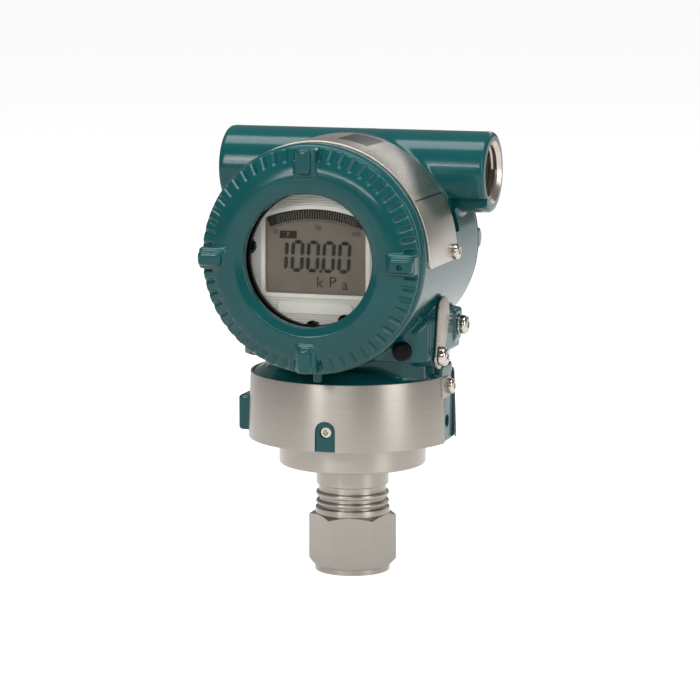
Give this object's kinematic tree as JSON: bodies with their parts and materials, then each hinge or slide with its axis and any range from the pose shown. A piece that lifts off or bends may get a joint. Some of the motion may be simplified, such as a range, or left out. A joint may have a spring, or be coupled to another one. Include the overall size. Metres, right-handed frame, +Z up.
{
  "type": "gauge pressure transmitter",
  "caption": "In-line gauge pressure transmitter: cast housing with glazed display cover, blank terminal cover, cross conduit tube and hexagon process connector below.",
  "frame": {"origin": "centre of the process connector's bottom face, on the process axis", "axes": "+Z up along the process axis, -Y the way the display faces, X along the conduit tube"},
  "size_m": [0.115, 0.1085, 0.1852],
  "materials": {
    "green_enamel": "semi-gloss enamel on cast aluminium",
    "satin_steel": "satin rolled stainless sheet",
    "turned_steel": "turned stainless steel",
    "bright_steel": "bright plated steel",
    "black_steel": "black oxide steel",
    "rubber": "black moulded rubber",
    "window_glass": "clear toughened glass",
    "bezel_plastic": "pale moulded plastic with fine ribs",
    "display_glass": "grey-brown liquid crystal panel",
    "board_laminate": "green circuit board",
    "spacer_brass": "turned brass",
    "black_plastic": "black moulded plastic"
  },
  "bodies": {
    "process": {"process_connector": "turned_steel", "capsule_flange": "turned_steel", "swivel_o_ring": "rubber", "sensor_diaphragm": "bright_steel", "sensor_cell": "bright_steel", "sensor_header": "black_plastic", "sensor_lead": "black_plastic"},
    "transmitter": {"amplifier_housing": "green_enamel", "base_band": "satin_steel", "band_screws": "bright_steel", "swivel_set_screws": "black_steel", "nameplate": "satin_steel", "nameplate_screws": "bright_steel", "ground_washer": "bright_steel", "ground_screw": "bright_steel", "cover_lock_bolts": "bright_steel", "blanking_plug": "rubber", "indicator_bezel": "bezel_plastic", "lcd_panel": "display_glass", "indicator_board": "board_laminate", "indicator_spacers": "spacer_brass", "indicator_screws": "black_steel", "amplifier_board": "board_laminate", "board_spacers": "spacer_brass", "board_connector": "black_plastic", "wall_feedthrough": "black_plastic", "terminal_block": "black_plastic", "terminal_screws": "bright_steel", "terminal_block_screws": "bright_steel", "inner_ground_screw": "bright_steel", "lead_socket": "black_plastic", "zero_flap_screw": "bright_steel"},
    "front_seal": {"front_o_ring": "rubber"},
    "display_cover": {"display_cover": "green_enamel", "window_gasket": "rubber", "window_glass": "window_glass", "window_retainer": "bright_steel"},
    "rear_seal": {"rear_o_ring": "rubber"},
    "terminal_cover": {"terminal_cover": "green_enamel"},
    "zero_flap": {"zero_flap": "satin_steel"},
    "zero_adjust": {"zero_adjust_screw": "bright_steel"}
  },
  "joints": [
    {"name": "housing_swivel", "type": "hinge", "parent": "process", "child": "transmitter", "pos_m": [0, 0, 0.0655], "axis": [0, 0, 1], "range_deg": [-180, 180]},
    {"name": "display_cover_turn", "type": "hinge", "parent": "transmitter", "child": "front_seal", "pos_m": [0, -0.05, 0.1377], "axis": [0, -1, 0], "range_deg": [0, 720]},
    {"name": "display_cover_travel", "type": "slide", "parent": "front_seal", "child": "display_cover", "axis": [0, -1, 0], "range_m": [0, 0.00305]},
    {"name": "terminal_cover_turn", "type": "hinge", "parent": "transmitter", "child": "rear_seal", "pos_m": [0, 0.032, 0.1377], "axis": [0, 1, 0], "range_deg": [0, 720]},
    {"name": "terminal_cover_travel", "type": "slide", "parent": "rear_seal", "child": "terminal_cover", "axis": [0, 1, 0], "range_m": [0, 0.00305]},
    {"name": "zero_flap_swing", "type": "hinge", "parent": "transmitter", "child": "zero_flap", "pos_m": [0.0438, -0.0215, 0.09589], "axis": [1, 0, 0], "range_deg": [0, 100]},
    {"name": "zero_adjust_turn", "type": "hinge", "parent": "transmitter", "child": "zero_adjust", "pos_m": [0.0425, -0.0155, 0.11189], "axis": [1, 0, 0], "continuous": true}
  ],
  "couplings": [
    {"joint": "display_cover_travel", "follows": "display_cover_turn", "m_per_rad": 0.00023873},
    {"joint": "terminal_cover_travel", "follows": "terminal_cover_turn", "m_per_rad": 0.00023873}
  ]
}
